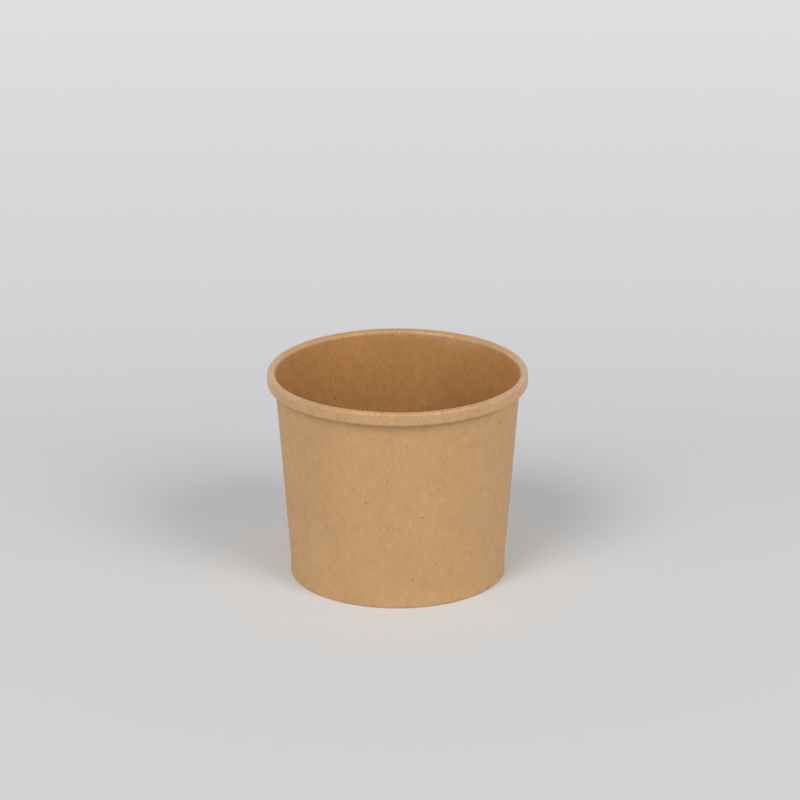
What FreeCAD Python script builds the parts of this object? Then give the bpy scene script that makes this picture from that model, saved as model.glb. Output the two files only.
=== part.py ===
# Paper ice cream tub: a tapered sidewall of kraft board with a rolled rim, and a base board.
# Units are millimetres, +Z is up and the origin is the centre of the foot, on the table.
import FreeCAD, Part
import math
import os
import Sketcher
from FreeCAD import Vector

# The driving sizes. The sheet holds them as plain numbers, angles in degrees.
SIZES = {
    "height": 73.6,
    "rim_radius": 45.0,
    "curl_width": 2.9,
    "curl_height": 4.8,
    "crest_radius": 1.8,
    "shoulder_radius": 1.0,
    "toe_radius": 1.0,
    "tuck_length": 0.8,
    "wall_taper": 4.42,
    "board": 0.45,
    "hem_height": 6.0,
    "foot_press": 0.08,
    "seam_azimuth": 92.0,
    "lap_angle": 10.2,
    "ramp_angle": 2.0,
    "base_board": 0.40,
    "slot_clearance": 0.03,
    "base_bend": 0.5,
    "edge_gap": 0.1,
}

# The meaning of each size, written beside it in the sheet.
NOTES = {
    "height": "table to the crest of the rim",
    "rim_radius": "outer face of the rolled rim",
    "curl_width": "inside of the wall to the outer face of the rolled rim",
    "curl_height": "crest of the rim to its underside",
    "crest_radius": "wide roll from the wall over the mouth, on the tub side of the board",
    "shoulder_radius": "tighter roll from the crest into the outer face",
    "toe_radius": "roll under the rim",
    "tuck_length": "straight end that stands inside the curl",
    "wall_taper": "half angle of the cone, in degrees",
    "board": "thickness of the sidewall board",
    "hem_height": "height of the hem that holds the base",
    "foot_press": "how far the fold of the hem is pressed flat on the table",
    "seam_azimuth": "direction of the lap's inner cut edge, 90 is the back",
    "lap_angle": "width of the lap of the sidewall on itself",
    "ramp_angle": "run in which the board climbs over its own cut edge",
    "base_board": "thickness of the base board",
    "slot_clearance": "gap on each side of the base skirt in the hem",
    "base_bend": "inner radius of the bend from the base into its skirt",
    "edge_gap": "gap between the cut edge of the hem and the bend of the base",
}

# Sizes that follow from the driving ones, as expressions on the sheet.
FOLD_RADIUS = "(sheet.base_board / 2 + sheet.slot_clearance)"
FOLD_CENTRE = f"({FOLD_RADIUS} + sheet.board - sheet.foot_press)"
CREST_CENTRE_X = "(sheet.rim_radius - sheet.curl_width + sheet.crest_radius)"
CREST_CENTRE_Z = "(sheet.height - sheet.crest_radius)"
SHOULDER_CENTRE_X = "(sheet.rim_radius - sheet.shoulder_radius)"
TOE_CENTRE_X = "(sheet.rim_radius - sheet.toe_radius)"
TOE_CENTRE_Z = "(sheet.height - sheet.curl_height + sheet.toe_radius)"
SKIRT_OUTSIDE = "(board_path.Constraints.foot_inside / 1 mm - sheet.slot_clearance)"
BEND_OUTSIDE = "(sheet.base_bend + sheet.base_board)"
BEND_CENTRE_Z = "(sheet.hem_height + sheet.edge_gap)"

# A sketch numbers the spots of a line or an arc by their place in this list. Its own level axis
# is line -1, which starts at the origin.
SPOTS = ("edge", "start", "end", "centre")
ORIGIN = (-1, "start")

doc = FreeCAD.newDocument("ice_cream_tub")


def make_sheet():
    """Write every driving size into the spreadsheet, with its alias and its meaning."""
    sheet = doc.addObject("Spreadsheet::Sheet", "sheet")
    for row, (name, value) in enumerate(SIZES.items(), start=1):
        sheet.set(f"A{row}", name)
        sheet.set(f"B{row}", str(value))
        sheet.setAlias(f"B{row}", name)
        sheet.set(f"C{row}", NOTES[name])
    doc.recompute()
    return sheet


def line(start, end):
    return Part.LineSegment(Vector(*start, 0), Vector(*end, 0))


def arc(centre, radius, first, last):
    """An arc that runs counter-clockwise between two angles in degrees."""
    circle = Part.Circle(Vector(*centre, 0), Vector(0, 0, 1), radius)
    return Part.ArcOfCircle(circle, math.radians(first), math.radians(last))


def value(expression):
    """What an expression on the sheet gives now."""
    return float(sheet.evalExpression(expression))


def constrain(sketch, kind, *where):
    """Add a constraint; spots are given by name."""
    numbered = [SPOTS.index(item) if isinstance(item, str) else item for item in where]
    return sketch.addConstraint(Sketcher.Constraint(kind, *numbered))


def dimension(sketch, kind, where, name, expression):
    """A named length of the sketch, bound to the sheet."""
    index = constrain(sketch, kind, *where, value(expression))
    sketch.renameConstraint(index, name)
    sketch.setExpression(f"Constraints.{name}", expression)


def draw_board_path():
    """The tub-side face of the sidewall board, in section from the hem to the end of the curl.

    The order is the order in which the board runs: up inside the hem, down round the fold of the
    foot, up the wall, over the crest, down the outer face of the rim and under into the curl.
    The shape drawn first is already close, and the constraints below settle it.
    """
    taper = math.radians(sheet.wall_taper)
    fold, fold_z = value(FOLD_RADIUS), value(FOLD_CENTRE)
    crest_x, crest_z = value(CREST_CENTRE_X), value(CREST_CENTRE_Z)
    wall_top_x = crest_x - sheet.crest_radius * math.cos(taper)
    wall_top_z = crest_z + sheet.crest_radius * math.sin(taper)
    foot_x = wall_top_x - (wall_top_z - sheet.hem_height) * math.tan(taper)
    fold_x = foot_x - fold
    shoulder_x = value(SHOULDER_CENTRE_X)
    apart = sheet.crest_radius - sheet.shoulder_radius
    hip = math.acos((shoulder_x - crest_x) / apart)
    shoulder_z = crest_z + apart * math.sin(hip)
    toe_x, toe_z = value(TOE_CENTRE_X), value(TOE_CENTRE_Z)
    tuck_x = toe_x - sheet.toe_radius

    sketch = doc.addObject("Sketcher::SketchObject", "board_path")
    sketch.Placement = FreeCAD.Placement(Vector(), FreeCAD.Rotation(Vector(1, 0, 0), 90))
    hem, fold_arc, band, wall, crest_arc, shoulder_arc, lip, toe_arc, tuck = sketch.addGeometry([
        line((fold_x - fold, sheet.hem_height), (fold_x - fold, fold_z)),
        arc((fold_x, fold_z), fold, 180, 360),
        line((foot_x, fold_z), (foot_x, sheet.hem_height)),
        line((foot_x, sheet.hem_height), (wall_top_x, wall_top_z)),
        arc((crest_x, crest_z), sheet.crest_radius, math.degrees(hip), 180 - sheet.wall_taper),
        arc((shoulder_x, shoulder_z), sheet.shoulder_radius, 0, math.degrees(hip)),
        line((sheet.rim_radius, shoulder_z), (sheet.rim_radius, toe_z)),
        arc((toe_x, toe_z), sheet.toe_radius, 180, 360),
        line((tuck_x, toe_z), (tuck_x, toe_z + sheet.tuck_length)),
    ])

    constrain(sketch, "Tangent", hem, "end", fold_arc, "start")
    constrain(sketch, "Tangent", fold_arc, "end", band, "start")
    constrain(sketch, "Coincident", band, "end", wall, "start")
    constrain(sketch, "Tangent", wall, "end", crest_arc, "end")
    constrain(sketch, "Tangent", crest_arc, "start", shoulder_arc, "end")
    constrain(sketch, "Tangent", shoulder_arc, "start", lip, "start")
    constrain(sketch, "Tangent", lip, "end", toe_arc, "end")
    constrain(sketch, "Tangent", toe_arc, "start", tuck, "start")
    for upright in (hem, band, lip, tuck):
        constrain(sketch, "Vertical", upright)

    fold_centre = (*ORIGIN, fold_arc, "centre")
    crest_centre = (*ORIGIN, crest_arc, "centre")
    toe_centre = (*ORIGIN, toe_arc, "centre")
    dimension(sketch, "Radius", (fold_arc,), "fold", FOLD_RADIUS)
    dimension(sketch, "DistanceY", fold_centre, "fold_up", FOLD_CENTRE)
    dimension(sketch, "DistanceY", (*ORIGIN, hem, "start"), "hem_edge", "sheet.hem_height")
    dimension(sketch, "DistanceY", (*ORIGIN, band, "end"), "hem_crease", "sheet.hem_height")
    dimension(sketch, "Radius", (crest_arc,), "crest", "sheet.crest_radius")
    dimension(sketch, "DistanceX", crest_centre, "crest_across", CREST_CENTRE_X)
    dimension(sketch, "DistanceY", crest_centre, "crest_up", CREST_CENTRE_Z)
    dimension(sketch, "Radius", (shoulder_arc,), "shoulder", "sheet.shoulder_radius")
    dimension(sketch, "DistanceX", (*ORIGIN, lip, "start"), "rim", "sheet.rim_radius")
    dimension(sketch, "Radius", (toe_arc,), "toe", "sheet.toe_radius")
    dimension(sketch, "DistanceY", toe_centre, "toe_up", TOE_CENTRE_Z)
    dimension(sketch, "DistanceY", (tuck, "start", tuck, "end"), "tuck", "sheet.tuck_length")

    slope = constrain(sketch, "Angle", wall, math.pi / 2 - taper)
    sketch.renameConstraint(slope, "wall_slope")
    sketch.setExpression("Constraints.wall_slope", "90 deg - sheet.wall_taper * 1 deg")

    # The inside of the foot follows from the rim and the taper. It is measured, not set.
    foot = constrain(sketch, "DistanceX", *ORIGIN, band, "start", foot_x)
    sketch.setDriving(foot, False)
    sketch.renameConstraint(foot, "foot_inside")
    return sketch


def offset_by_board(name, source, filled):
    """The source line moved by one board's thickness, or the filled section of the board."""
    offset = doc.addObject("Part::Offset2D", name)
    offset.Source = source
    offset.Mode = "Skin"
    offset.Join = "Intersection"
    offset.Fill = filled
    offset.setExpression("Value", "-sheet.board")
    return offset


def revolve(name, section, angle):
    turned = doc.addObject("Part::Revolution", name)
    turned.Source = section
    turned.Axis = Vector(0, 0, 1)
    turned.Base = Vector()
    turned.Solid = True
    turned.setExpression("Angle", angle)
    return turned


def make_sidewall():
    """One board, rolled into a cone, lapped on itself at the back, curled and hemmed."""
    path = draw_board_path()
    section = offset_by_board("board_section", path, True)
    outer_face = offset_by_board("outer_face", path, False)
    lap_section = offset_by_board("lap_section", outer_face, True)

    around = revolve("once_around", section, "360 - sheet.ramp_angle")
    lap = revolve("lap", lap_section, "sheet.lap_angle")

    # Where the board meets its own cut edge it climbs by its thickness over a short ramp.
    ramp_start = doc.addObject("Part::Compound", "ramp_start")
    ramp_start.Links = [section]
    ramp_start.setExpression("Placement.Rotation.Angle", "-sheet.ramp_angle")
    ramp_start.Placement = FreeCAD.Placement(
        Vector(), FreeCAD.Rotation(Vector(0, 0, 1), -sheet.ramp_angle))
    ramp = doc.addObject("Part::Loft", "ramp")
    ramp.Sections = [ramp_start, lap_section]
    ramp.Solid = True
    ramp.Ruled = True

    rolled = doc.addObject("Part::MultiFuse", "rolled")
    rolled.Shapes = [around, ramp, lap]
    rolled.Refine = False

    # The fold of the hem is pressed flat by the table that the tub stands on.
    table = doc.addObject("Part::Cylinder", "table")
    table.setExpression("Radius", "sheet.rim_radius")
    table.setExpression("Height", "2 * sheet.board")
    table.setExpression("Placement.Base.z", "-2 * sheet.board")
    sidewall = doc.addObject("Part::Cut", "sidewall")
    sidewall.Label = "sidewall"
    sidewall.Base = rolled
    sidewall.Tool = table
    sidewall.Refine = False
    sidewall.Placement = FreeCAD.Placement(
        Vector(), FreeCAD.Rotation(Vector(0, 0, 1), sheet.seam_azimuth))
    sidewall.setExpression("Placement.Rotation.Angle", "sheet.seam_azimuth")
    return sidewall


def make_base():
    """A round board with its edge turned down into a skirt, which stands in the hem."""
    body = doc.addObject("PartDesign::Body", "base")
    body.Label = "base"
    front = next(plane for plane in body.Origin.OriginFeatures if plane.Role == "XZ_Plane")
    sketch = body.newObject("Sketcher::SketchObject", "base_section")
    sketch.AttachmentSupport = (front, "")
    sketch.MapMode = "FlatFace"

    outside = value(SKIRT_OUTSIDE)
    inside = outside - sheet.base_board
    bend_outside = value(BEND_OUTSIDE)
    bend = (outside - bend_outside, value(BEND_CENTRE_Z))
    under = bend[1] + sheet.base_bend
    top = under + sheet.base_board
    skirt_end = value(FOLD_CENTRE)

    upper, outer_bend, outer_skirt, edge, inner_skirt, inner_bend, lower, axis = sketch.addGeometry([
        line((0, top), (bend[0], top)),
        arc(bend, bend_outside, 0, 90),
        line((outside, bend[1]), (outside, skirt_end)),
        line((outside, skirt_end), (inside, skirt_end)),
        line((inside, skirt_end), (inside, bend[1])),
        arc(bend, sheet.base_bend, 0, 90),
        line((bend[0], under), (0, under)),
        line((0, under), (0, top)),
    ])

    constrain(sketch, "Coincident", axis, "end", upper, "start")
    constrain(sketch, "Tangent", upper, "end", outer_bend, "end")
    constrain(sketch, "Tangent", outer_bend, "start", outer_skirt, "start")
    constrain(sketch, "Coincident", outer_skirt, "end", edge, "start")
    constrain(sketch, "Coincident", edge, "end", inner_skirt, "start")
    constrain(sketch, "Tangent", inner_skirt, "end", inner_bend, "start")
    constrain(sketch, "Tangent", inner_bend, "end", lower, "start")
    constrain(sketch, "Coincident", lower, "end", axis, "start")
    constrain(sketch, "Coincident", outer_bend, "centre", inner_bend, "centre")
    constrain(sketch, "Vertical", *ORIGIN, axis, "start")
    for upright in (axis, outer_skirt, inner_skirt):
        constrain(sketch, "Vertical", upright)
    for level in (upper, edge, lower):
        constrain(sketch, "Horizontal", level)

    bend_centre = (*ORIGIN, inner_bend, "centre")
    dimension(sketch, "Radius", (inner_bend,), "bend_inside", "sheet.base_bend")
    dimension(sketch, "Radius", (outer_bend,), "bend_outside", BEND_OUTSIDE)
    dimension(sketch, "DistanceY", bend_centre, "bend_up", BEND_CENTRE_Z)
    dimension(sketch, "DistanceX", (*ORIGIN, outer_skirt, "start"), "outside", SKIRT_OUTSIDE)
    dimension(sketch, "DistanceY", (*ORIGIN, edge, "start"), "skirt_end", FOLD_CENTRE)

    turned = body.newObject("PartDesign::Revolution", "base_turned")
    turned.Profile = sketch
    turned.ReferenceAxis = (sketch, ["V_Axis"])
    turned.Angle = 360
    return body


def check(pieces):
    """Stop if anything failed to build, or if a sketch is left loose."""
    for item in doc.Objects:
        if "Invalid" in item.State or "Error" in item.State:
            raise RuntimeError(f"{item.Name} failed to build: {item.State}")
        if item.TypeId == "Sketcher::SketchObject" and not item.FullyConstrained:
            raise RuntimeError(f"the sketch {item.Name} isn't fully constrained")
    for piece in pieces:
        if piece.Shape.isNull() or not piece.Shape.isValid() or len(piece.Shape.Solids) != 1:
            raise RuntimeError(f"{piece.Label} isn't one valid solid")


sheet = make_sheet()
sidewall = make_sidewall()
doc.recompute()
base = make_base()
doc.recompute()

pieces = [sidewall, base]
check(pieces)
os.makedirs("parts", exist_ok=True)
for piece in pieces:
    solid = piece.Shape
    solid.exportStep(f"parts/{piece.Label}.step")
    size = solid.optimalBoundingBox()
    print(piece.Label, f"{solid.Volume:.1f} mm3, {size.XLength:.2f} x {size.YLength:.2f} x"
          f" {size.ZLength:.2f} mm from z = {size.ZMin:.3f}, {len(solid.Faces)} faces")
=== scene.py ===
# %% [markdown]
# # A paper ice cream tub
#
# This lesson dresses a small tub of brown kraft board. The real one is two pieces: a tapered
# sidewall, rolled from one flat blank, and a round base that is held in its foot. Both are made
# again here as meshes, because the looks of board lie in what a plain solid lacks: the slight
# unevenness of the rolled rim, the raw cut edges, and the fibres that run across the blank.
#
# The first cell loads the measured model, which everything below has to fit.

# %% Load the measured model
import math

import bmesh
import bpy
from mathutils import Matrix, Vector, noise


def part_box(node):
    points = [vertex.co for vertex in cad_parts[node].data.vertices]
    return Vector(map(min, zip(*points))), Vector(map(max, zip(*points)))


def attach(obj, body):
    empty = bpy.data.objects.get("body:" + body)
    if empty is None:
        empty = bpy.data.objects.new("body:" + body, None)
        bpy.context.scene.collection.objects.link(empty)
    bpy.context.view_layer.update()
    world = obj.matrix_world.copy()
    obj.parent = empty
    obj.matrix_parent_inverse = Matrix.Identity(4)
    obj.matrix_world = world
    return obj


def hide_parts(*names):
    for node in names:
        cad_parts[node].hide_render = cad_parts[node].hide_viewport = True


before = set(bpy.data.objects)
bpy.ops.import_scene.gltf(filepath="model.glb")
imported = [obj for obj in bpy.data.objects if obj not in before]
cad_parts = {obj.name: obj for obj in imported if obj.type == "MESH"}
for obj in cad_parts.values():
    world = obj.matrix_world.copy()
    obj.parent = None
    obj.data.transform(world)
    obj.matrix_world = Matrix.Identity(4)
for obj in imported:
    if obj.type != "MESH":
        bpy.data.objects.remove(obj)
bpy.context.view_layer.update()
MM = 0.001
wall_low, wall_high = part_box("sidewall")
base_low, base_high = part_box("base")
print("sidewall, mm:", [round(x / MM, 2) for x in (*wall_low, *wall_high)])
print("base, mm:", [round(x / MM, 2) for x in (*base_low, *base_high)])

# %% [markdown]
# ## The sizes of the board
#
# A rolled rim or a hem is only a path that the board follows, so a few radii and lengths
# describe it. The height comes from the measured model. The rest are given below.

# %% Sizes
height = wall_high[2]
rim_radius = 45.0 * MM
curl_width = 2.9 * MM
curl_height = 4.8 * MM
crest_radius = 1.8 * MM
shoulder_radius = 1.0 * MM
toe_radius = 1.0 * MM
tuck_length = 0.8 * MM
taper = math.radians(4.42)
board = 0.45 * MM
hem_height = 6.0 * MM
foot_press = 0.08 * MM
base_board = 0.40 * MM
slot_clearance = 0.03 * MM
base_bend = 0.5 * MM
edge_gap = 0.1 * MM
seam = math.radians(92.0)
lap = math.radians(10.2)
ramp = math.radians(2.0)

fold_radius = base_board / 2 + slot_clearance
fold_height = fold_radius + board - foot_press
crest_x = rim_radius - curl_width + crest_radius
crest_z = height - crest_radius
wall_top_z = crest_z + crest_radius * math.sin(taper)
foot_inside = crest_x - crest_radius / math.cos(taper) - (crest_z - hem_height) * math.tan(taper)
print(f"inside of the foot: {foot_inside / MM:.2f} mm, cone half angle {math.degrees(taper):.2f}")

# %% [markdown]
# ## Drawing the path of the board
#
# In the Blender window you would draw this section with a Bezier curve and give it to a Screw
# modifier. Here a single vertex does the drawing, like a pen: a straight run extrudes it, and a
# bend spins it about a point at its side. Each new vertex remembers how far along the board it
# lies, which later places the paper's pattern.

# %% A pen that draws a section
class Pen:
    """Draws a chain of edges in the XZ plane, from a start point and a heading in degrees."""

    def __init__(self, mesh, x, z, heading):
        self.mesh = mesh
        self.along = mesh.verts.layers.float.new("along")
        self.tip = mesh.verts.new((x, 0, z))
        self.heading = math.radians(heading)
        self.travelled = 0.0

    def direction(self):
        return Vector((math.cos(self.heading), 0, math.sin(self.heading)))

    def run(self, length, steps=1):
        """A straight run, cut into equal steps."""
        for _ in range(steps):
            grown = bmesh.ops.extrude_vert_indiv(self.mesh, verts=[self.tip])
            self.tip = grown["verts"][0]
            bmesh.ops.translate(self.mesh, verts=[self.tip], vec=self.direction() * length / steps)
            self.travelled += length / steps
            self.tip[self.along] = self.travelled

    def bend(self, radius, degrees, steps):
        """A bend to the left for positive degrees, to the right for negative ones."""
        side = math.copysign(1, degrees)
        turn = math.radians(degrees) / steps
        left = Vector((-math.sin(self.heading), 0, math.cos(self.heading)))
        centre = self.tip.co + left * radius * side
        for _ in range(steps):
            grown = bmesh.ops.spin(
                self.mesh, geom=[self.tip], cent=centre, axis=(0, -1, 0), angle=turn, steps=1)
            self.tip = [v for v in grown["geom_last"] if isinstance(v, bmesh.types.BMVert)][0]
            self.travelled += radius * abs(turn)
            self.tip[self.along] = self.travelled
            self.heading += turn


# %% [markdown]
# ## The section of the sidewall
#
# The pen follows the face of the board that looks into the tub: down the folded hem, round the
# foot, up the wall, over the crest of the rim, down its outer face and under into the curl.

# %% Draw the sidewall's section
wall_mesh = bmesh.new()
pen = Pen(wall_mesh, foot_inside - 2 * fold_radius, hem_height, -90)
pen.run(hem_height - fold_height, 4)
pen.bend(fold_radius, 180, 10)
pen.run(hem_height - fold_height, 4)
pen.heading -= taper
pen.run((wall_top_z - hem_height) / math.cos(taper), 20)
past_crest = math.asin((rim_radius - shoulder_radius - crest_x) / (crest_radius - shoulder_radius))
pen.bend(crest_radius, -math.degrees(math.pi / 2 - taper + past_crest), 16)
pen.bend(shoulder_radius, -math.degrees(math.pi / 2 - past_crest), 8)
shoulder_z = crest_z + (crest_radius - shoulder_radius) * math.cos(past_crest)
pen.run(shoulder_z - (height - curl_height + toe_radius), 3)
pen.bend(toe_radius, -180, 14)
pen.run(tuck_length, 2)
wall_mesh.verts.ensure_lookup_table()
print(f"{len(wall_mesh.verts)} points, {pen.travelled / MM:.1f} mm of board,"
      f" reach {max(v.co.x for v in wall_mesh.verts) / MM:.2f} mm,"
      f" crest {max(v.co.z for v in wall_mesh.verts) / MM:.2f} mm")

# %% [markdown]
# ## Rolling the blank into a cone
#
# The real blank is rolled once around a mandrel and lapped on itself by about 8 mm at the back.
# A spin does the same with the section: nearly a full turn, then a short ramp in which the board
# climbs over its own cut edge, then the lap. A single full spin would close the ring and lose the
# seam, so the three turns are made one after another, and every point remembers its turn.

# %% Spin the section around the tub
points = len(wall_mesh.verts)
turned = wall_mesh.verts.layers.float.new("turned")


def spin_on(mesh, geometry, start, angle, steps):
    """Spin the last section on by an angle about the tub's axis, and note each point's turn."""
    before = len(mesh.verts)
    spun = bmesh.ops.spin(
        mesh, geom=geometry, cent=(0, 0, 0), axis=(0, 0, 1), angle=angle, steps=steps)
    mesh.verts.ensure_lookup_table()
    for number, vert in enumerate(mesh.verts[before:]):
        vert[turned] = start + angle / steps * (1 + number // points)
    return spun["geom_last"]


once = 2 * math.pi - ramp
section = list(wall_mesh.verts) + list(wall_mesh.edges)
to_seam = Matrix.Rotation(seam, 3, "Z")
bmesh.ops.rotate(wall_mesh, verts=wall_mesh.verts, cent=(0, 0, 0), matrix=to_seam)
section = spin_on(wall_mesh, section, 0, once, 320)
section = spin_on(wall_mesh, section, once, ramp, 6)
section = spin_on(wall_mesh, section, once + ramp, lap, 10)
bmesh.ops.recalc_face_normals(wall_mesh, faces=wall_mesh.faces)
print(len(wall_mesh.verts), "points,", len(wall_mesh.faces), "faces")
turn_error = max(
    abs((math.atan2(v.co.y, v.co.x) - seam - v[turned] + math.pi) % (2 * math.pi) - math.pi)
    for v in wall_mesh.verts)
print(f"largest error of a remembered turn: {turn_error:.6f} radians")

# %% [markdown]
# ## Lapping the seam
#
# Past the ramp the board lies outside its own first layer. Each point there moves back along its
# normal, eased in over the ramp, so the same few lines lap the wall, the inside of the curl and
# the hem. The sealing tool squeezes the warm, moist board hard, so the two layers bed into each
# other: the step that shows at the inner cut edge is far less than the board's thickness.

# %% Lift the lap over the first layer
def eased(share):
    """0 below 0, 1 above 1, and an S-shaped rise between."""
    share = min(max(share, 0.0), 1.0)
    return share * share * (3 - 2 * share)


inner_step = 0.10 * MM
outer_step = 0.25 * MM


def lap_depth(turn):
    """How deep the first layer is squeezed at a turn: a thin edge that thickens under the lap."""
    return inner_step + (outer_step - inner_step) * eased(turn / lap)


wall_mesh.normal_update()
lifts = [
    (v, v.normal * -lap_depth(max(v[turned] - 2 * math.pi, 0)) * eased((v[turned] - once) / ramp))
    for v in wall_mesh.verts]
for vert, lift in lifts:
    vert.co += lift

inner_points = set(wall_mesh.verts)
thick = bmesh.ops.solidify(wall_mesh, geom=list(wall_mesh.faces), thickness=board)
outer_points = [v for v in wall_mesh.verts if v not in inner_points]
print("outer points that kept their turn:", sum(v[turned] > 0 for v in outer_points))
wall_mesh.normal_update()
squeezes = [
    (v, v.normal * -(board - lap_depth(v[turned])) * (1 - eased((v[turned] - lap) / ramp)))
    for v in outer_points if v[turned] < lap + ramp]
for vert, squeeze in squeezes:
    vert.co += squeeze
print(len(wall_mesh.verts), "points with both faces;",
      f"reach {max(v.co.xy.length for v in wall_mesh.verts) / MM:.2f} mm,"
      f" lowest {min(v.co.z for v in wall_mesh.verts) / MM:.2f} mm")

# %% [markdown]
# ## Pressing the foot flat
#
# Where the lap runs through the hem there are four layers of board at the foot. A real tub
# doesn't rock on them, because the hemming tool presses them flat. Points that would lie below
# the table are simply lifted to it, and the first layer under the lap gives way a little.

# %% Press the foot onto the table
pressed_layer = 0.12 * MM
for vert in wall_mesh.verts:
    under_lap = vert[turned] < lap
    vert.co.z = max(vert.co.z, pressed_layer if under_lap else 0)
print(f"lowest point now {min(v.co.z for v in wall_mesh.verts) / MM:.3f} mm")

# %% [markdown]
# ## The unevenness of rolled board
#
# No rolled rim is a perfect ring: board springs back a little more in one place than in another,
# and the tub is handled. Smooth noise, read on a circle so that it closes on itself, pushes the
# wall in and out and lets the rim rise and fall by a few tenths of a millimetre. It fades out
# towards the foot, where the base holds the tub round.

# %% Let the rim and wall wander a little
rim_wander = 0.30 * MM
rim_lift = 0.20 * MM
wall_wander = 0.10 * MM


def wander(co):
    """The small move of a point of the sidewall away from its true place."""
    around = Vector((co.x, co.y, 0)).normalized()
    share = max(co.z / height, 0)
    sideways = rim_wander * share ** 3 * noise.noise(around * 1.1 + Vector((0, 0, 3.7)))
    sideways += wall_wander * eased(share * 3) * noise.noise(around * 2.3 + Vector((0, 0, share * 2)))
    upwards = rim_lift * share ** 3 * noise.noise(around * 1.4 + Vector((0, 0, 8.2)))
    return around * sideways + Vector((0, 0, upwards))


for vert in wall_mesh.verts:
    vert.co += wander(vert.co)
print(f"crest between {min(v.co.z for v in wall_mesh.verts if v.co.z > 0.99 * height) / MM:.2f}"
      f" and {max(v.co.z for v in wall_mesh.verts) / MM:.2f} mm")

# %% [markdown]
# ## Laying the pattern on the flat blank
#
# Fibres lie in the board before it is cut and rolled, so they run straight across the flat,
# fan-shaped blank and not along the cone. Unrolling is simple for a cone: a point's distance
# from the apex stays, and its turn shrinks by the sine of the half angle. Written into a UV map
# in metres, it makes every pattern lie as the mill made it, upright at the front and leaning
# towards the seam. The two faces of the board get different stretches of the pattern.

# %% Unroll every point into a UV map
apex_to_crease = foot_inside / math.sin(taper)
crease_along = 2 * (hem_height - fold_height) + math.pi * fold_radius
front_turn = math.radians(270) - seam
face_apart = 0.6
along = wall_mesh.verts.layers.float["along"]
blank = wall_mesh.loops.layers.uv.new("blank")


def unrolled(vert):
    """Where a point of the sidewall lies on the flat blank, in metres."""
    reach = apex_to_crease + vert[along] - crease_along
    turn = (vert[turned] - front_turn) * math.sin(taper)
    aside = 0 if vert in inner_points else face_apart
    return reach * math.sin(turn) + aside, reach * math.cos(turn) - apex_to_crease


OUTSIDE, INSIDE, CUT_EDGE = 0, 1, 2
for face in wall_mesh.faces:
    inner = sum(vert in inner_points for vert in face.verts)
    face.material_index = {0: OUTSIDE, len(face.verts): INSIDE}.get(inner, CUT_EDGE)
    face.smooth = True
    for loop in face.loops:
        loop[blank].uv = unrolled(loop.vert)
for slot, side in ((OUTSIDE, "outside"), (INSIDE, "inside"), (CUT_EDGE, "on cut edges")):
    print("faces", side, sum(face.material_index == slot for face in wall_mesh.faces))


# %% Turn the mesh into a piece of the scene
def make_piece(name, mesh, *materials):
    """An object at the origin, with its place in its mesh, shaded smooth but for its corners."""
    data = bpy.data.meshes.new(name)
    mesh.to_mesh(data)
    mesh.free()
    data.set_sharp_from_angle(angle=math.radians(40))
    for material in materials:
        data.materials.append(material)
    piece = bpy.data.objects.new(name, data)
    bpy.context.scene.collection.objects.link(piece)
    return piece


# %% [markdown]
# ## The base
#
# The base is a round board whose edge is turned down. Its section starts on the axis, so the
# spin leaves a fan of points there, and removing the doubles closes the pole.

# %% Draw and spin the base
skirt_outside = foot_inside - slot_clearance
base_top = hem_height + edge_gap + base_bend + base_board
base_mesh = bmesh.new()
pen = Pen(base_mesh, 0, base_top, 0)
pen.run(skirt_outside - base_bend - base_board, 24)
pen.bend(base_bend + base_board, -90, 8)
pen.run(hem_height + edge_gap - fold_height, 4)
bmesh.ops.spin(
    base_mesh, geom=list(base_mesh.verts) + list(base_mesh.edges), cent=(0, 0, 0), axis=(0, 0, 1),
    angle=2 * math.pi, steps=192, use_merge=True)
bmesh.ops.remove_doubles(base_mesh, verts=base_mesh.verts, dist=0.001 * MM)
bmesh.ops.recalc_face_normals(base_mesh, faces=base_mesh.faces)
food_side = set(base_mesh.verts)
bmesh.ops.solidify(base_mesh, geom=list(base_mesh.faces), thickness=base_board)
sheet_map = base_mesh.loops.layers.uv.new("blank")
for face in base_mesh.faces:
    inner = sum(vert in food_side for vert in face.verts)
    face.material_index = {0: OUTSIDE, len(face.verts): INSIDE}.get(inner, CUT_EDGE)
    face.smooth = True
    for loop in face.loops:
        aside = 0 if loop.vert in food_side else face_apart
        loop[sheet_map].uv = loop.vert.co.xy + Vector((aside, 0))
print(f"base from {min(v.co.z for v in base_mesh.verts) / MM:.2f}"
      f" to {max(v.co.z for v in base_mesh.verts) / MM:.2f} mm")

# %% [markdown]
# ## Shader maths that reads like arithmetic
#
# In the Shader editor each sum is a Math node with two wires. A small class that wraps a socket
# and overloads the operators builds the same nodes from plain expressions.

# %% A wire in a material
class Wire:
    """An output socket of a material, which can be added to, multiplied and so on."""

    def __init__(self, socket):
        self.socket = socket

    def maths(self, operation, first, second):
        return Finish.of(self).node("ShaderNodeMath", {"operation": operation}, {0: first, 1: second})

    def __add__(self, other):
        return self.maths("ADD", self, other)

    def __radd__(self, other):
        return self.maths("ADD", other, self)

    def __sub__(self, other):
        return self.maths("SUBTRACT", self, other)

    def __rsub__(self, other):
        return self.maths("SUBTRACT", other, self)

    def __mul__(self, other):
        return self.maths("MULTIPLY", self, other)

    def __rmul__(self, other):
        return self.maths("MULTIPLY", other, self)


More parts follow.
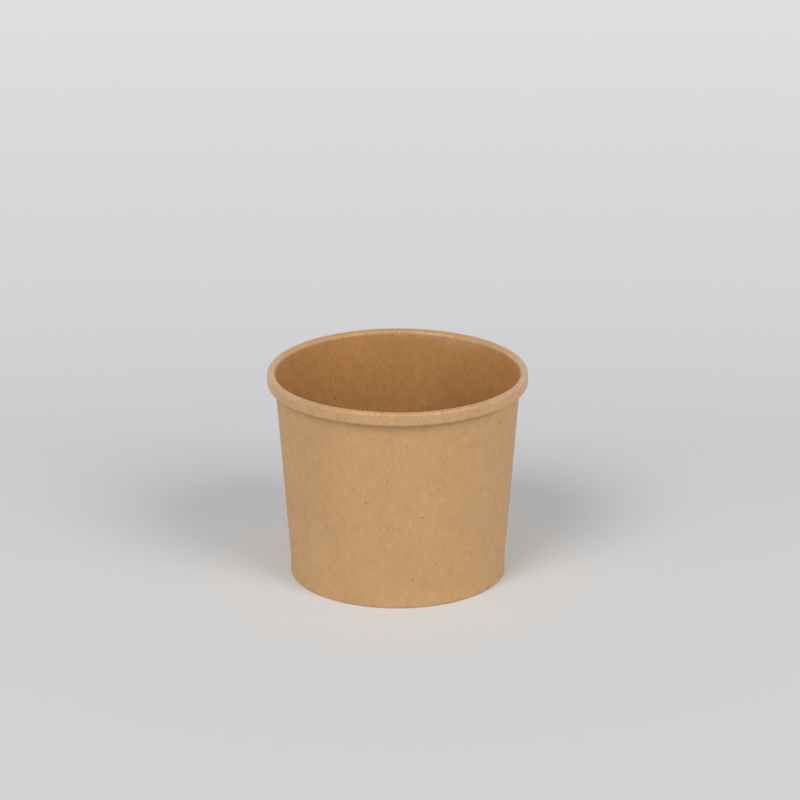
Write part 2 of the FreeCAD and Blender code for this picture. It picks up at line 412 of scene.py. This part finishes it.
class Finish:
    """A material whose nodes are made one at a time, each giving back its wire."""

    def __init__(self, name):
        self.material = bpy.data.materials.new(name)
        self.material.use_nodes = True
        self.tree = self.material.node_tree
        self.surface = self.tree.nodes["Principled BSDF"]

    @classmethod
    def of(cls, wire):
        """The finish that a wire belongs to."""
        finish = cls.__new__(cls)
        finish.tree = wire.socket.id_data
        return finish

    def plug(self, node, inputs):
        """Set or link the sockets of a node, by name or number."""
        for name, value in inputs.items():
            if isinstance(value, Wire):
                self.tree.links.new(value.socket, node.inputs[name])
            else:
                node.inputs[name].default_value = value

    def node(self, kind, settings=None, inputs=None, output=0):
        """Any node: its settings first, then the values or wires of its sockets."""
        node = self.tree.nodes.new(kind)
        for name, value in (settings or {}).items():
            if name == "stops":
                self.set_stops(node.color_ramp, value)
            else:
                setattr(node, name, value)
        self.plug(node, inputs or {})
        return Wire(node.outputs[output])

    def set_stops(self, ramp_of, stops):
        """Give a colour ramp its stops, as pairs of a position and a colour."""
        while len(ramp_of.elements) > 1:
            ramp_of.elements.remove(ramp_of.elements[-1])
        for number, (position, colour) in enumerate(stops):
            stop = ramp_of.elements[0] if number == 0 else ramp_of.elements.new(position)
            stop.position = position
            stop.color = colour

    def mix(self, share, first, second, blend="MIX"):
        """One colour laid over another by a share from 0 to 1."""
        settings = {"data_type": "RGBA", "blend_type": blend, "clamp_factor": True}
        return self.node("ShaderNodeMix", settings, {0: share, 6: first, 7: second}, output=2)


def srgb(red, green, blue):
    """A colour as a screen shows it, 0 to 255, turned into the linear light of a shader."""
    linear = [
        x / 12.92 if x <= 0.04045 else ((x + 0.055) / 1.055) ** 2.4
        for x in (red / 255, green / 255, blue / 255)]
    return (*linear, 1.0)


print("mid grey, linear:", [round(x, 3) for x in srgb(128, 128, 128)])

# %% [markdown]
# ## Kraft board
#
# Brown kraft is unbleached softwood pulp. From a metre away it looks smooth and slightly cloudy.
# Close up, single fibres lie in the surface as short pale or dark strokes, mostly along the web,
# in loose groups, and here and there sits a brown speck of bark. Each of these is a small
# pattern on the blank's UV map. The first cell makes clouds, which are plain noise.

# %% Clouds in the pulp
def clouds(finish, place, width, length, detail=2.0, seed=0.0):
    """Noise between 0 and 1 with grains of a given width and length, in millimetres."""
    stretched = finish.node(
        "ShaderNodeMapping", {"vector_type": "TEXTURE"},
        {"Vector": place, "Location": (seed, seed * 1.7, 0), "Scale": (width * MM, length * MM, 1)})
    return finish.node(
        "ShaderNodeTexNoise", {"noise_dimensions": "2D"},
        {"Vector": stretched, "Scale": 1.0, "Detail": detail, "Roughness": 0.55})


def between(finish, wire, low, high):
    """A wire read between two levels and stretched to run from 0 to 1."""
    return finish.node(
        "ShaderNodeMapRange", {"interpolation_type": "SMOOTHSTEP", "clamp": True},
        {"Value": wire, "From Min": low, "From Max": high, "To Min": 0.0, "To Max": 1.0})


# %% [markdown]
# A stroke comes from a Voronoi texture, which scatters one point in each cell of a grid and gives
# the distance to it. Stretched and turned, the small disc round a point becomes a slim fibre, and
# the cell's random colour decides whether it is there at all. The place is first bent by a little
# noise, so that the fibres curl.
#
# Each list below holds a lean in degrees, a width and a length in millimetres, the share of cells
# that have a fibre, and a seed. A pale fibre stands up a little from the surface, so it gets a
# dark copy of itself just beside it, as its shade.

# %% Strokes and specks
def strokes(finish, bent, lean, width, length, share, seed):
    """Single fibres near one direction: 1 on a fibre and 0 beside it."""
    settings = {"voronoi_dimensions": "2D", "feature": "F1"}
    turned_place = finish.node(
        "ShaderNodeMapping", {"vector_type": "TEXTURE"},
        {"Vector": bent, "Location": (seed, seed * 0.6, 0), "Rotation": (0, 0, math.radians(lean)),
         "Scale": (4 * width * MM, 4 * length * MM, 1)})
    reading = {"Vector": turned_place, "Scale": 1.0, "Randomness": 1.0}
    distance = finish.node("ShaderNodeTexVoronoi", settings, reading)
    colour = finish.node("ShaderNodeTexVoronoi", settings, reading, output=1)
    chance = finish.node("ShaderNodeSeparateColor", {}, {"Color": colour})
    there = between(finish, chance, 1 - share - 0.02, 1 - share + 0.02)
    return (1 - between(finish, distance, 0.05, 0.15)) * there


# %% [markdown]
# One function then makes all the finishes of the board, since they differ only in colour and
# gloss. The side that faces the food carries a clear film, so it is glossier and deeper in colour.
# Where that side is rolled outwards over the rim, its colour is painted paler, a painted sheen that
# stands in for the lamps' reflection on the film, and a painted highlight lightens the top of the
# crest.

# %% Make the finishes of the board
pale_strokes = [(5, 0.36, 2.9, 0.22, 1.0), (-12, 0.34, 2.2, 0.20, 2.3), (26, 0.34, 1.7, 0.10, 3.1)]
dark_strokes = [(-3, 0.36, 2.7, 0.20, 4.7), (13, 0.34, 2.0, 0.18, 5.9), (-65, 0.36, 1.4, 0.04, 6.4)]
shade_aside = 0.35 * MM


def kraft(name, pulp, roughness, show=1.0, painted_rim_sheen=None):
    """Kraft board of one pulp colour, with its clouds, fibres, specks and perhaps a painted sheen and
    highlight on the rim.
    """
    finish = Finish(name)
    place = finish.node("ShaderNodeUVMap", {"uv_map": "blank"})
    wave = finish.node(
        "ShaderNodeTexNoise", {"noise_dimensions": "2D"},
        {"Vector": place, "Scale": 1 / (2.5 * MM), "Detail": 1.0}, output=1)
    shift = finish.node(
        "ShaderNodeVectorMath", {"operation": "MULTIPLY"}, {0: wave, 1: (0.9 * MM, 0.9 * MM, 0)})
    bent = finish.node("ShaderNodeVectorMath", {"operation": "ADD"}, {0: place, 1: shift})

    grain = clouds(finish, place, 0.5, 1.3, detail=2.0, seed=2.0)
    soft = clouds(finish, place, 3.0, 4.5, detail=3.0, seed=5.0)
    wide = clouds(finish, place, 16.0, 24.0, detail=1.0, seed=14.0)
    warm = clouds(finish, place, 7.0, 7.0, detail=2.0, seed=9.0)
    groups = between(finish, clouds(finish, place, 8.0, 10.0, detail=1.0, seed=17.0), 0.40, 0.58)

    pale, dark = 0, 0
    for *stroke, seed in pale_strokes:
        pale = strokes(finish, bent, *stroke, seed) + pale
        dark = strokes(finish, bent, *stroke, seed + shade_aside) + dark
    for stroke in dark_strokes:
        dark = strokes(finish, bent, *stroke) + dark
    speck = strokes(finish, bent, 65, 0.8, 1.3, 0.02, 7.7)

    tone = (grain - 0.5) * 0.55 * show + (soft - 0.5) * 0.50 * show + (wide - 0.5) * 0.30
    amount = groups * 0.7 + 0.3
    colour = pulp
    if painted_rim_sheen:
        spot = finish.node("ShaderNodeTexCoord", output=3)
        flat = finish.node(
            "ShaderNodeVectorMath", {"operation": "MULTIPLY"}, {0: spot, 1: (1, 1, 0)})
        reach = finish.node("ShaderNodeVectorMath", {"operation": "LENGTH"}, {0: flat}, output=1)
        # Painted sheen: the board rolled over the rim gets a paler colour, standing in for the lamps'
        # reflection on its film.
        sheen_over_rim = between(finish, reach, crest_x - 1.15 * crest_radius, crest_x - 0.8 * crest_radius)
        colour = finish.mix(sheen_over_rim, pulp, painted_rim_sheen)
        level = finish.node("ShaderNodeSeparateXYZ", {}, {"Vector": spot}, output=2)
        # Painted highlight: the top of the crest is made 8 percent lighter.
        crest_highlight = between(finish, level, height - crest_radius, height - 0.2 * crest_radius)
        colour = finish.mix(crest_highlight, colour, (1.08, 1.08, 1.06, 1), blend="MULTIPLY")
    shade = finish.mix(tone + 0.5, (0.80, 0.80, 0.80, 1), (1.20, 1.20, 1.20, 1))
    colour = finish.mix(1.0, colour, shade, blend="MULTIPLY")
    ruddy = (1.02, 0.98, 0.965, 1)
    colour = finish.mix(between(finish, warm, 0.35, 0.65), colour, ruddy, blend="MULTIPLY")
    bright = (1 + 0.19 * show, 1 + 0.26 * show, 1 + 0.32 * show, 1)
    colour = finish.mix(pale * amount, colour, bright, blend="MULTIPLY")
    dull = (1 - 0.18 * show, 1 - 0.22 * show, 1 - 0.24 * show, 1)
    colour = finish.mix(dark * amount, colour, dull, blend="MULTIPLY")
    bark = (0.30, 0.30, 0.30, 1)
    colour = finish.mix(speck * 0.75, colour, bark, blend="MULTIPLY")

    height_of = grain * 0.5 + soft * 0.5 + pale * 0.25
    bump = finish.node(
        "ShaderNodeBump", {}, {"Height": height_of, "Strength": 0.5, "Distance": 0.05 * MM})
    finish.plug(finish.surface, {
        "Base Color": colour, "Roughness": (0.5 - soft) * 0.16 + roughness,
        "Normal": bump, "IOR": 1.45})
    return finish.material


outside_board = kraft("kraft outside", srgb(188, 149, 102), 0.60)
# The paler colour of the rim is painted sheen.
rim_sheen_colour = srgb(189, 150, 106)
lined_board = kraft("kraft lined side", srgb(182, 135, 82), 0.34, show=1.5, painted_rim_sheen=rim_sheen_colour)
cut_board = kraft("kraft cut edge", srgb(184, 150, 112), 0.85)

# %% Put the board on the two pieces
sidewall = make_piece("kraft_sidewall", wall_mesh, outside_board, lined_board, cut_board)
base = make_piece("kraft_base", base_mesh, outside_board, lined_board, cut_board)
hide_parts("sidewall")
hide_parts("base")
for piece in (sidewall, base):
    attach(piece, "root")
    triangles = sum(len(face.vertices) - 2 for face in piece.data.polygons)
    print(piece.name, triangles, "triangles")

# %% [markdown]
# ## The table and the light
#
# The tub stands on seamless pale paper. A large flat sheet does for it. Its grey is painted light:
# it shifts slowly from near to far, with a darker band behind the tub, as the light of studio lamps
# does on a paper sweep. Two wide suns from the front left and the front right cast the two soft
# shadows behind the tub. The world fills in the rest, as the white walls of a light tent do: it
# glows most some 20 degrees above the table and is dark overhead, which keeps the tub's wall
# lighter below than a plain white sky would.

# %% Lay the table
table_mesh = bmesh.new()
bmesh.ops.create_grid(table_mesh, x_segments=8, y_segments=8, size=2.5)
paper = Finish("seamless paper")
place = paper.node("ShaderNodeTexCoord", output=3)
depth = paper.node("ShaderNodeSeparateXYZ", {}, {"Vector": place}, output=1)
near, far = -0.20, 0.80
# Painted light: the paper's grey falls to a darker band behind the tub and rises again far off.
shade = paper.node(
    "ShaderNodeValToRGB", {"stops": [
        (0.00, srgb(226, 227, 228)),
        (0.20, srgb(224, 225, 226)),
        (0.32, srgb(216, 218, 220)),
        (0.50, srgb(224, 226, 228)),
        (1.00, srgb(236, 238, 240))]},
    {"Fac": (depth - near) * (1 / (far - near))})
paper.plug(paper.surface, {"Base Color": shade, "Roughness": 0.9, "Specular IOR Level": 0.2})
table = make_piece("table", table_mesh, paper.material)

# %% Set the lamps and the world
def add_sun(name, azimuth, elevation, strength, angle):
    """A sun that shines from a compass direction, 0 is +X and -90 the front, down at an angle."""
    lamp = bpy.data.lights.new(name, "SUN")
    lamp.energy = strength
    lamp.angle = math.radians(angle)
    sun = bpy.data.objects.new(name, lamp)
    turn = math.radians(azimuth)
    lift = math.radians(elevation)
    towards = Vector((
        math.cos(lift) * math.cos(turn), math.cos(lift) * math.sin(turn), math.sin(lift)))
    sun.rotation_euler = towards.to_track_quat("Z", "Y").to_euler()
    bpy.context.scene.collection.objects.link(sun)
    return sun


add_sun("front right softbox", -45, 41, 0.94, 28)
add_sun("front left softbox", -123, 46, 1.13, 28)
world = bpy.data.worlds.new("light tent")
world.use_nodes = True
background = world.node_tree.nodes["Background"]
tent = Finish.of(Wire(background.inputs["Color"]))
direction = tent.node("ShaderNodeTexCoord")
upwards = tent.node("ShaderNodeSeparateXYZ", {}, {"Vector": direction}, output=2)
glow = tent.node(
    "ShaderNodeValToRGB", {"stops": [
        (0.00, (0.49, 0.49, 0.49, 1)),
        (0.35, (1.00, 1.00, 1.00, 1)),
        (0.55, (0.40, 0.40, 0.40, 1)),
        (0.75, (0.02, 0.02, 0.02, 1))]},
    {"Fac": upwards})
tent.plug(background, {"Color": glow, "Strength": 1.42})
bpy.context.scene.world = world

# %% [markdown]
# ## The camera
#
# The photograph was taken with a long lens from well above the rim. The numbers come from
# fitting the tub's two ellipses: a lens of 176 mm on a 36 mm wide sensor, 1.35 m away, looking
# down by 19.8 degrees at a point inside the tub.

# %% Point the camera
distance = 30 * rim_radius
pitch = math.radians(19.76)
aim = Vector((0.77 * MM, 0, 1.387 * rim_radius))
lens = bpy.data.cameras.new("camera")
lens.sensor_width = 36
lens.lens = 175.7
lens.clip_end = 20
camera = bpy.data.objects.new("camera", lens)
camera.location = aim + distance * Vector((0, -math.cos(pitch), math.sin(pitch)))
camera.rotation_euler = (math.pi / 2 - pitch, 0, 0)
bpy.context.scene.collection.objects.link(camera)
bpy.context.scene.camera = camera
bpy.context.scene.view_settings.view_transform = "Standard"
